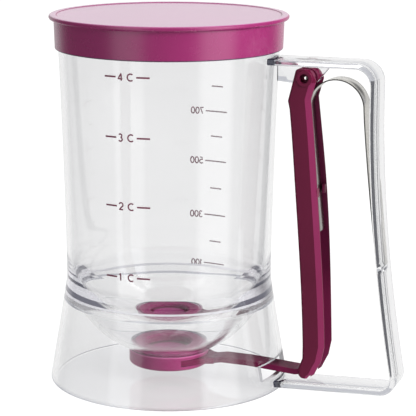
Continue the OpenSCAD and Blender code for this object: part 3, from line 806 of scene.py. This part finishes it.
# ---------------------------------------------------------------- carried CAD nodes
for node, material in (("valve_housing", M_VALVE), ("valve_gate", M_GATE),
                       ("outlet_gasket", M_SILICONE)):
    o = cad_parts[node]
    for s in o.material_slots:
        s.material = material
    o.data.shade_smooth()
    o.data.set_sharp_from_angle(angle=math.radians(30))

# ---------------------------------------------------------------- printed scale
def ribbon(bm, pts, w, place):
    """A stroke of width w along (u, v) points, put on the cup by place(u, v)."""
    fine = []
    for (u0, v0), (u1, v1) in zip(pts, pts[1:]):
        n = max(1, int(math.hypot(u1 - u0, v1 - v0) / 0.6))
        fine += [(u0 + (u1 - u0) * i / n, v0 + (v1 - v0) * i / n) for i in range(n)]
    fine.append(pts[-1])
    sides = []
    for i, (u, v) in enumerate(fine):
        a, b = fine[max(i - 1, 0)], fine[min(i + 1, len(fine) - 1)]
        d = math.hypot(b[0] - a[0], b[1] - a[1])
        nu, nv = -(b[1] - a[1]) / d * w / 2, (b[0] - a[0]) / d * w / 2
        sides.append((bm.verts.new(place(u + nu, v + nv)), bm.verts.new(place(u - nu, v - nv))))
    for (a, b), (c, d) in zip(sides, sides[1:]):
        bm.faces.new((a, b, d, c))


def glyph(char):
    """Strokes of a plain numeral or the letter C, in a cell one unit high."""
    if char == "C":
        return [arc(0.46, 0.5, 0.46, 52, 308, 20)], 0.92
    if char == "0":
        return [[(0.3 + 0.28 * math.cos(t), 0.5 + 0.48 * math.sin(t))
                 for t in [2 * math.pi * i / 24 for i in range(25)]]], 0.6
    if char == "1":
        return [[(0.02, 0.8), (0.22, 1.0), (0.22, 0.0)]], 0.3
    if char == "2":
        return [arc(0.3, 0.7, 0.28, 165, -35, 14) + [(0.02, 0.03), (0.6, 0.03)]], 0.6
    if char == "3":
        return [arc(0.26, 0.75, 0.23, 150, -80, 12), arc(0.26, 0.27, 0.27, 85, -150, 14)], 0.55
    if char == "4":
        return [[(0.48, 0.0), (0.48, 1.0), (0.02, 0.26), (0.66, 0.26)]], 0.66
    if char == "5":
        return [[(0.54, 0.98), (0.16, 0.98), (0.1, 0.55)] + arc(0.27, 0.32, 0.3, 118, -150, 16)], 0.6
    return [[(0.02, 0.98), (0.58, 0.98), (0.18, 0.0)]], 0.6


def make_print():
    """A cup scale in front and a millilitre scale behind, on the cup's outer face."""
    lift = 0.04

    def placer(az, z0):
        def place(u, v):
            z = z0 + v
            r = body_r(z) + lift
            a = math.radians(az) + u / r
            return (r * math.cos(a), r * math.sin(a), z)
        return place

    bm = bmesh.new()
    deg = math.radians(1) * 51.0      # one degree round the cup's wall, in millimetres
    front = (("4", 154.4, 0.0), ("3", 126.6, -0.3), ("2", 94.5, -0.7), ("1", 60.8, -1.2))
    size, stroke, dash = 3.4, 0.68, 0.78
    for digit, z, drift in front:
        place = placer(-90 + drift, z)
        ribbon(bm, [(-13.0 * deg, 0), (-6.5 * deg, 0)], dash, place)
        ribbon(bm, [(4.8 * deg, 0), (11.8 * deg, 0)], dash, place)
        for strokes, u in ((glyph(digit)[0], -5.2 * deg), (glyph("C")[0], 0.0)):
            for s in strokes:
                ribbon(bm, [(u + a * size, (b - 0.5) * size) for a, b in s], stroke, place)
    small, thin, line = 3.2, 0.62, 0.66
    for label, z in (("700", 123.8), ("500", 98.4), ("300", 70.6), ("100", 44.7)):
        place = placer(90, z)
        ribbon(bm, [(-15.0 * deg, 0), (-1.0 * deg, 0)], line, place)
        u = 0.3 * deg
        for char in label:
            strokes, width = glyph(char)
            for s in strokes:
                ribbon(bm, [(u + a * small, (b - 0.5) * small) for a, b in s], thin, place)
            u += (width + 0.16) * small
    for z in (136.5, 111.1, 84.5, 56.9):
        ribbon(bm, [(-12.0 * deg, 0), (-4.5 * deg, 0)], line, placer(90, z))
    obj = finish_mesh(bm, "printed_scale")
    paint(obj, M_PRINT)
    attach(obj, "jug")


make_print()

# ---------------------------------------------------------------- floor, light and camera
VIEW_AZ = math.radians(21.0)
CAM_REACH, CAM_Z, CAM_TILT = 829.6, 267.1, 12.47
FLAG_AZ = math.radians(72.0)
FLAG_COLOUR = (0.05, 0.052, 0.07, 1)
TABLE_WITHIN = (0.78, 0.78, 0.78, 1)


def make_floor():
    """A white light table: mostly lit from below, so that it stays white close to the part."""
    bm = bmesh.new()
    bm.faces.new([bm.verts.new((x, y, -0.05)) for x, y in circle(0, 0, 6000, 96)])
    floor = finish_mesh(bm, "floor")
    mat = bpy.data.materials.new("floor_white")
    n = Nodes(mat)
    base = n.ramp(n.noise(4, 3.0), (0.13, 0.13, 0.13), (0.15, 0.15, 0.15))
    # Light that has bounced about inside the clear plastic meets a dark flag on the table
    # behind the set, which is what draws the dark line along the handle.
    at = n.vector("SUBTRACT", n.place(), ((GRIP_REACH + AXIS_X) * MM, 0, 0))
    dot = n.vector("DOT_PRODUCT", n.vector("NORMALIZE", at),
                   (math.cos(FLAG_AZ), math.sin(FLAG_AZ), 0))
    flag = n.smooth(dot, math.cos(math.radians(9.7)), math.cos(math.radians(5.8)), 0.0, 1.0)
    away = n.smooth(n.vector("LENGTH", at), 0.035, 0.06, 0.0, 1.0)
    path = n.add("ShaderNodeLightPath")
    bounced = n.calc("MINIMUM", path.outputs["Glossy Depth"], 1.0)
    dark = n.calc("MULTIPLY", n.calc("MULTIPLY", flag, away), bounced)
    # Seen through the plastic the table is a little darker than the white round the part.
    within = n.calc("MINIMUM", path.outputs["Transmission Depth"], 1.0)
    table = n.mix(within, (1, 1, 1, 1), TABLE_WITHIN)
    # The table shines under the cup, where the valve is mirrored in it.
    near = n.vector("DISTANCE", n.place(), (AXIS_X * MM, 0, 0))
    n.shader({
        "Base Color": n.mix(dark, base, (0, 0, 0, 1)),
        "Emission Color": n.mix(dark, table, FLAG_COLOUR),
        "Emission Strength": 0.9,
        "Coat Weight": n.smooth(near, 0.0555, 0.054, 0.0, 1.0),
        "Coat Roughness": 0.04,
        "Roughness": 0.8,
        "Specular IOR Level": 0.1})
    paint(floor, mat)
    floor.visible_glossy = False


make_floor()


def area(name, loc, target, size, power):
    data = bpy.data.lights.new(name, "AREA")
    data.shape = "RECTANGLE"
    data.size, data.size_y = size
    data.energy = power
    o = bpy.data.objects.new(name, data)
    o.location = loc
    o.rotation_mode = "QUATERNION"
    o.rotation_quaternion = (Vector(target) - Vector(loc)).to_track_quat("-Z", "Y")
    o.visible_camera = False
    bpy.context.scene.collection.objects.link(o)
    return o


def from_camera(degrees, distance, height):
    """A point round the cup's axis, so many degrees to the right of the camera's side."""
    a = math.radians(-90 + degrees) + VIEW_AZ
    return (AXIS_X * MM + distance * math.cos(a), distance * math.sin(a), height)


CENTRE = (AXIS_X * MM, 0, 0.09)
area("overhead", (-0.05, 0.25, 1.6), (0, 0, 0), (1.5, 1.2), 6)
key = area("key", from_camera(57, 1.35, 0.6), CENTRE, (0.7, 0.7), 36)
key.visible_glossy = False
key.visible_transmission = False

ROOM_COLOUR = (0.8, 0.8, 0.8, 1)
LOW_COLOUR = (0.52, 0.53, 0.57, 1)


def make_world():
    """A white backdrop behind and above, and a darker room on the camera's side."""
    world = bpy.data.worlds.new("studio")
    bpy.context.scene.world = world
    n = Nodes(world, "ShaderNodeOutputWorld")
    towards = n.add("ShaderNodeTexCoord").outputs["Generated"]
    level = n.vector("NORMALIZE", n.vector("MULTIPLY", towards, (1, 1, 0)))
    split = n.add("ShaderNodeSeparateXYZ")
    n.feed(towards, split.inputs["Vector"])
    up = split.outputs["Z"]

    def band(degrees, outer, inner, high):
        """Light round a direction, so many degrees to the right of the camera's side."""
        a = math.radians(-90 + degrees) + VIEW_AZ
        dot = n.vector("DOT_PRODUCT", level, (math.cos(a), math.sin(a), 0))
        return n.smooth(dot, math.cos(math.radians(outer)), math.cos(math.radians(inner)),
                        0.0, high)

    behind = n.vector("DOT_PRODUCT", towards, (-math.sin(VIEW_AZ), math.cos(VIEW_AZ), 0))
    backdrop = n.smooth(behind, 0.55, 0.85, 0.18, 1.1)
    ceiling = n.smooth(up, 0.35, 0.9, 0.18, 0.9)
    bands = n.calc("ADD", band(-43, 20, 12, 1.6), band(51, 24, 12, 2.6))
    room = n.calc("ADD", n.calc("MAXIMUM", backdrop, ceiling), bands)
    # Seen directly or through the clear plastic, all of the room is light.
    path = n.add("ShaderNodeLightPath")
    inside = n.calc("MINIMUM", path.outputs["Transmission Depth"], 1.0)
    seen = n.calc("MAXIMUM", path.outputs["Is Camera Ray"], inside)
    # Its low part is grey to light that has been bent by the clear plastic.
    low = n.calc("MULTIPLY", n.smooth(up, -0.08, -0.05, 0.0, 1.0), n.smooth(up, 0.5, 0.65, 1.0, 0.0))
    colour = n.mix(n.calc("MULTIPLY", low, inside), ROOM_COLOUR, LOW_COLOUR)
    background = n.add("ShaderNodeBackground")
    n.feed(colour, background.inputs["Color"])
    n.feed(n.calc("MAXIMUM", room, seen), background.inputs["Strength"])
    n.feed(background.outputs["Background"], n.out.inputs["Surface"])


make_world()

BOUNCES = 32               # light crosses many walls of clear plastic before it gets out
scene = bpy.context.scene
scene.view_settings.view_transform = "Standard"
scene.cycles.max_bounces = BOUNCES
scene.cycles.transmission_bounces = BOUNCES
scene.cycles.transparent_max_bounces = BOUNCES
scene.cycles.glossy_bounces = BOUNCES

cam_data = bpy.data.cameras.new("camera")
cam = bpy.data.objects.new("camera", cam_data)
scene.collection.objects.link(cam)
scene.camera = cam
cam_data.sensor_width = 36.0
cam_data.lens = 151.85
cam_data.shift_x = 0.0938
cam.location = Vector((AXIS_X + CAM_REACH * math.sin(VIEW_AZ),
                       -CAM_REACH * math.cos(VIEW_AZ), CAM_Z)) * MM
cam.rotation_euler = (math.radians(90 - CAM_TILT), 0, VIEW_AZ)
